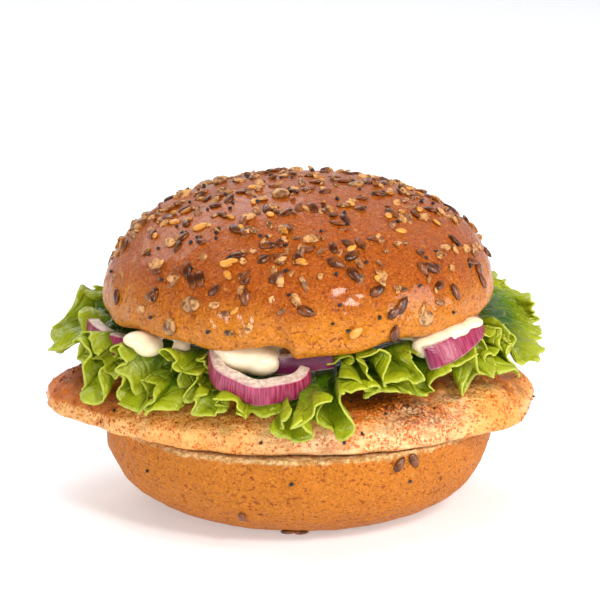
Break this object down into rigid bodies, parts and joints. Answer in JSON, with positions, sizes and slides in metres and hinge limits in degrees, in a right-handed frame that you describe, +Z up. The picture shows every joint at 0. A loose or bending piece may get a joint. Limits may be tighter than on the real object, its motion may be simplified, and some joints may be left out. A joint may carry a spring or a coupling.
{
  "type": "chicken burger",
  "caption": "Grilled chicken breast burger in a round seeded wholegrain bun, with frilly green lettuce, red onion and white sauce showing all round between the halves.",
  "frame": {"origin": "centre of the burger's footprint, on the flat base of the bun's heel", "axes": "+Z up through the crown, +X along the fillet to its blunt end, -Y towards the front where the onion ring hangs out"},
  "size_m": [0.151, 0.1292, 0.0959],
  "materials": {
    "bun": "golden brown baked wholegrain crust, slightly glossy on the crown",
    "chicken": "grilled and spiced chicken breast, moist",
    "lettuce": "fresh frilly leaf, waxy and translucent",
    "onion": "raw red onion, purple skin side and pale cut flesh",
    "sauce": "creamy white sauce, wet gloss",
    "seeds": "toasted linseed, poppy, sesame and cracked grain"
  },
  "bodies": {
    "root": {"bun_heel": "bun", "bun_crown": "bun", "chicken_fillet": "chicken", "lettuce_left": "lettuce", "lettuce_front": "lettuce", "lettuce_front_right": "lettuce", "lettuce_right": "lettuce", "lettuce_back_right": "lettuce", "lettuce_back_left": "lettuce", "onion_front": "onion", "onion_middle": "onion", "onion_right": "onion", "onion_left": "onion", "sauce": "sauce"}
  },
  "joints": []
}
